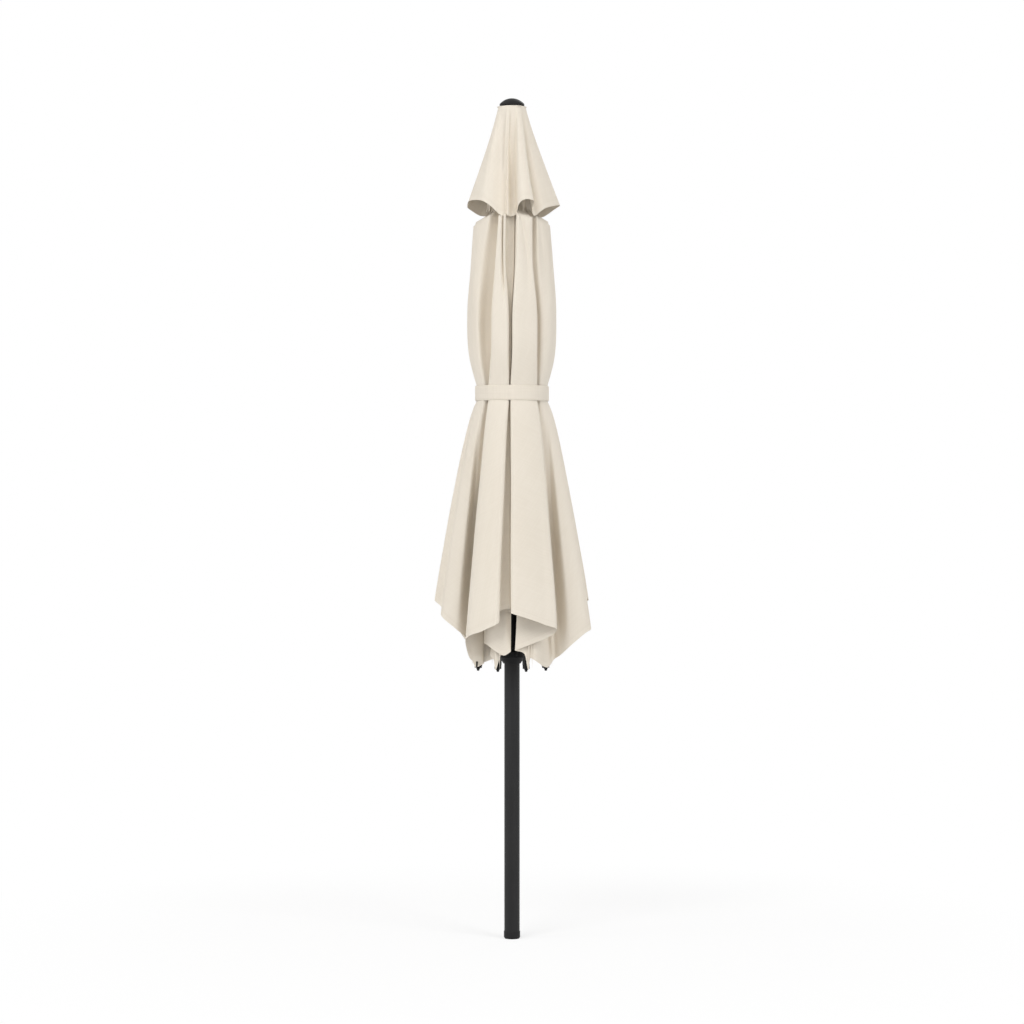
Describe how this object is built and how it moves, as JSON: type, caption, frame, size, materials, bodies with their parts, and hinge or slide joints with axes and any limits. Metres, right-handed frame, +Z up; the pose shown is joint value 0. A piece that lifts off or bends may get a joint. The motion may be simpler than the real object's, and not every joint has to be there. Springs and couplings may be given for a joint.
{
  "type": "market umbrella",
  "caption": "Closed market umbrella with a steel pole, hinged ribs and struts, a sliding runner, a vented cloth canopy and a tie strap.",
  "frame": {"origin": "centre of the underside of the foot cap, on the pole's axis", "axes": "+Z up the pole to the finial, -Y towards the front of the closed canopy, +X to the right of someone facing it"},
  "size_m": [0.3916, 0.3016, 2.0726],
  "materials": {
    "coated_steel": "satin",
    "black_plastic": "matte",
    "bright_steel": "satin",
    "cloth": "matte",
    "trim": "matte"
  },
  "bodies": {
    "pole": {"foot_cap": "black_plastic", "lower_pole": "coated_steel", "pole_joint_sleeve": "bright_steel", "upper_pole": "coated_steel", "crown_hub": "black_plastic", "crown_pins": "bright_steel", "finial": "black_plastic", "finial_stud": "bright_steel", "catch_spring": "bright_steel", "vent_cap": "cloth"},
    "runner": {"runner_hub": "black_plastic", "runner_pins": "bright_steel"},
    "catch": {"catch_button": "black_plastic"},
    "rib_1": {"rib_1": "coated_steel", "rib_tip_1": "black_plastic", "canopy_fold_1": "cloth"},
    "strut_1": {"strut_1": "coated_steel"},
    "panel_1": {"seam_tape_1": "trim"},
    "rib_2": {"rib_2": "coated_steel", "rib_tip_2": "black_plastic", "canopy_fold_2": "cloth"},
    "strut_2": {"strut_2": "coated_steel"},
    "panel_2": {"seam_tape_2": "trim"},
    "rib_3": {"rib_3": "coated_steel", "rib_tip_3": "black_plastic", "canopy_fold_3": "cloth"},
    "strut_3": {"strut_3": "coated_steel"},
    "panel_3": {"seam_tape_3": "trim"},
    "rib_4": {"rib_4": "coated_steel", "rib_tip_4": "black_plastic", "canopy_fold_4": "cloth"},
    "strut_4": {"strut_4": "coated_steel"},
    "panel_4": {"seam_tape_4": "trim"},
    "rib_5": {"rib_5": "coated_steel", "rib_tip_5": "black_plastic", "canopy_fold_5": "cloth", "strap": "trim"},
    "strut_5": {"strut_5": "coated_steel"},
    "panel_5": {"seam_tape_5": "trim"},
    "rib_6": {"rib_6": "coated_steel", "rib_tip_6": "black_plastic", "canopy_fold_6": "cloth"},
    "strut_6": {"strut_6": "coated_steel"},
    "panel_6": {"seam_tape_6": "trim"},
    "rib_7": {"rib_7": "coated_steel", "rib_tip_7": "black_plastic", "canopy_fold_7": "cloth"},
    "strut_7": {"strut_7": "coated_steel"},
    "panel_7": {"seam_tape_7": "trim"},
    "rib_8": {"rib_8": "coated_steel", "rib_tip_8": "black_plastic", "canopy_fold_8": "cloth"},
    "strut_8": {"strut_8": "coated_steel"},
    "panel_8": {"seam_tape_8": "trim"}
  },
  "joints": [
    {"name": "canopy_opening", "type": "hinge", "parent": "pole", "child": "rib_1", "pos_m": [0.01072, -0.02587, 2.03], "axis": [-0.9239, -0.3827, 0], "range_deg": [0, 63], "deforming": ["vent_cap"]},
    {"name": "rib_2_hinge", "type": "hinge", "parent": "pole", "child": "rib_2", "pos_m": [0.02587, -0.01072, 2.03], "axis": [-0.3827, -0.9239, 0], "range_deg": [0, 63]},
    {"name": "rib_3_hinge", "type": "hinge", "parent": "pole", "child": "rib_3", "pos_m": [0.02587, 0.01072, 2.03], "axis": [0.3827, -0.9239, 0], "range_deg": [0, 63]},
    {"name": "rib_4_hinge", "type": "hinge", "parent": "pole", "child": "rib_4", "pos_m": [0.01072, 0.02587, 2.03], "axis": [0.9239, -0.3827, 0], "range_deg": [0, 63]},
    {"name": "rib_5_hinge", "type": "hinge", "parent": "pole", "child": "rib_5", "pos_m": [-0.01072, 0.02587, 2.03], "axis": [0.9239, 0.3827, 0], "range_deg": [0, 63], "deforming": ["strap"]},
    {"name": "rib_6_hinge", "type": "hinge", "parent": "pole", "child": "rib_6", "pos_m": [-0.02587, 0.01072, 2.03], "axis": [0.3827, 0.9239, 0], "range_deg": [0, 63]},
    {"name": "rib_7_hinge", "type": "hinge", "parent": "pole", "child": "rib_7", "pos_m": [-0.02587, -0.01072, 2.03], "axis": [-0.3827, 0.9239, 0], "range_deg": [0, 63]},
    {"name": "rib_8_hinge", "type": "hinge", "parent": "pole", "child": "rib_8", "pos_m": [-0.01072, -0.02587, 2.03], "axis": [-0.9239, 0.3827, 0], "range_deg": [0, 63]},
    {"name": "strut_1_pivot", "type": "hinge", "parent": "rib_1", "child": "strut_1", "pos_m": [0.01767, -0.04266, 1.36514], "axis": [-0.9239, -0.3827, 0], "range_deg": [-126, 0]},
    {"name": "strut_2_pivot", "type": "hinge", "parent": "rib_2", "child": "strut_2", "pos_m": [0.04266, -0.01767, 1.36514], "axis": [-0.3827, -0.9239, 0], "range_deg": [-126, 0]},
    {"name": "strut_3_pivot", "type": "hinge", "parent": "rib_3", "child": "strut_3", "pos_m": [0.04266, 0.01767, 1.36514], "axis": [0.3827, -0.9239, 0], "range_deg": [-126, 0]},
    {"name": "strut_4_pivot", "type": "hinge", "parent": "rib_4", "child": "strut_4", "pos_m": [0.01767, 0.04266, 1.36514], "axis": [0.9239, -0.3827, 0], "range_deg": [-126, 0]},
    {"name": "strut_5_pivot", "type": "hinge", "parent": "rib_5", "child": "strut_5", "pos_m": [-0.01767, 0.04266, 1.36514], "axis": [0.9239, 0.3827, 0], "range_deg": [-126, 0]},
    {"name": "strut_6_pivot", "type": "hinge", "parent": "rib_6", "child": "strut_6", "pos_m": [-0.04266, 0.01767, 1.36514], "axis": [0.3827, 0.9239, 0], "range_deg": [-126, 0]},
    {"name": "strut_7_pivot", "type": "hinge", "parent": "rib_7", "child": "strut_7", "pos_m": [-0.04266, -0.01767, 1.36514], "axis": [-0.3827, 0.9239, 0], "range_deg": [-126, 0]},
    {"name": "strut_8_pivot", "type": "hinge", "parent": "rib_8", "child": "strut_8", "pos_m": [-0.01767, -0.04266, 1.36514], "axis": [-0.9239, 0.3827, 0], "range_deg": [-126, 0]},
    {"name": "runner_pivot", "type": "hinge", "parent": "strut_1", "child": "runner", "pos_m": [0.01072, -0.02587, 0.70028], "axis": [-0.9239, -0.3827, 0], "range_deg": [0, 63]},
    {"name": "panel_1_spread", "type": "hinge", "parent": "rib_1", "child": "panel_1", "pos_m": [0.0257, -0.03372, 2.05587], "axis": [0.5326, -0.8452, 0.0447], "range_deg": [0, 40.8], "deforming": ["seam_tape_1"]},
    {"name": "panel_2_spread", "type": "hinge", "parent": "rib_2", "child": "panel_2", "pos_m": [0.04201, -0.00567, 2.05587], "axis": [0.9743, -0.221, 0.0447], "range_deg": [0, 40.8], "deforming": ["seam_tape_2"]},
    {"name": "panel_3_spread", "type": "hinge", "parent": "rib_3", "child": "panel_3", "pos_m": [0.03372, 0.0257, 2.05587], "axis": [0.8452, 0.5326, 0.0447], "range_deg": [0, 40.8], "deforming": ["seam_tape_3"]},
    {"name": "panel_4_spread", "type": "hinge", "parent": "rib_4", "child": "panel_4", "pos_m": [0.00567, 0.04201, 2.05587], "axis": [0.221, 0.9743, 0.0447], "range_deg": [0, 40.8], "deforming": ["seam_tape_4"]},
    {"name": "panel_5_spread", "type": "hinge", "parent": "rib_5", "child": "panel_5", "pos_m": [-0.0257, 0.03372, 2.05587], "axis": [-0.5326, 0.8452, 0.0447], "range_deg": [0, 40.8], "deforming": ["seam_tape_5"]},
    {"name": "panel_6_spread", "type": "hinge", "parent": "rib_6", "child": "panel_6", "pos_m": [-0.04201, 0.00567, 2.05587], "axis": [-0.9743, 0.221, 0.0447], "range_deg": [0, 40.8], "deforming": ["seam_tape_6"]},
    {"name": "panel_7_spread", "type": "hinge", "parent": "rib_7", "child": "panel_7", "pos_m": [-0.03372, -0.0257, 2.05587], "axis": [-0.8452, -0.5326, 0.0447], "range_deg": [0, 40.8], "deforming": ["seam_tape_7"]},
    {"name": "panel_8_spread", "type": "hinge", "parent": "rib_8", "child": "panel_8", "pos_m": [-0.00567, -0.04201, 2.05587], "axis": [-0.221, -0.9743, 0.0447], "range_deg": [0, 40.8], "deforming": ["seam_tape_8"]},
    {"name": "catch_press", "type": "slide", "parent": "pole", "child": "catch", "axis": [0, -1, 0], "range_m": [0, 0.0042], "stiffness_N_per_m": 400, "springref_m": -0.003, "deforming": ["catch_spring"]}
  ],
  "couplings": [
    {"joint": "rib_2_hinge", "follows": "canopy_opening", "ratio": 1},
    {"joint": "rib_3_hinge", "follows": "canopy_opening", "ratio": 1},
    {"joint": "rib_4_hinge", "follows": "canopy_opening", "ratio": 1},
    {"joint": "rib_5_hinge", "follows": "canopy_opening", "ratio": 1},
    {"joint": "rib_6_hinge", "follows": "canopy_opening", "ratio": 1},
    {"joint": "rib_7_hinge", "follows": "canopy_opening", "ratio": 1},
    {"joint": "rib_8_hinge", "follows": "canopy_opening", "ratio": 1},
    {"joint": "strut_1_pivot", "follows": "canopy_opening", "ratio": -2},
    {"joint": "strut_2_pivot", "follows": "canopy_opening", "ratio": -2},
    {"joint": "strut_3_pivot", "follows": "canopy_opening", "ratio": -2},
    {"joint": "strut_4_pivot", "follows": "canopy_opening", "ratio": -2},
    {"joint": "strut_5_pivot", "follows": "canopy_opening", "ratio": -2},
    {"joint": "strut_6_pivot", "follows": "canopy_opening", "ratio": -2},
    {"joint": "strut_7_pivot", "follows": "canopy_opening", "ratio": -2},
    {"joint": "strut_8_pivot", "follows": "canopy_opening", "ratio": -2},
    {"joint": "runner_pivot", "follows": "canopy_opening", "ratio": 1},
    {"joint": "panel_1_spread", "follows": "canopy_opening", "ratio": 0.64749},
    {"joint": "panel_2_spread", "follows": "canopy_opening", "ratio": 0.64749},
    {"joint": "panel_3_spread", "follows": "canopy_opening", "ratio": 0.64749},
    {"joint": "panel_4_spread", "follows": "canopy_opening", "ratio": 0.64749},
    {"joint": "panel_5_spread", "follows": "canopy_opening", "ratio": 0.64749},
    {"joint": "panel_6_spread", "follows": "canopy_opening", "ratio": 0.64749},
    {"joint": "panel_7_spread", "follows": "canopy_opening", "ratio": 0.64749},
    {"joint": "panel_8_spread", "follows": "canopy_opening", "ratio": 0.64749}
  ]
}
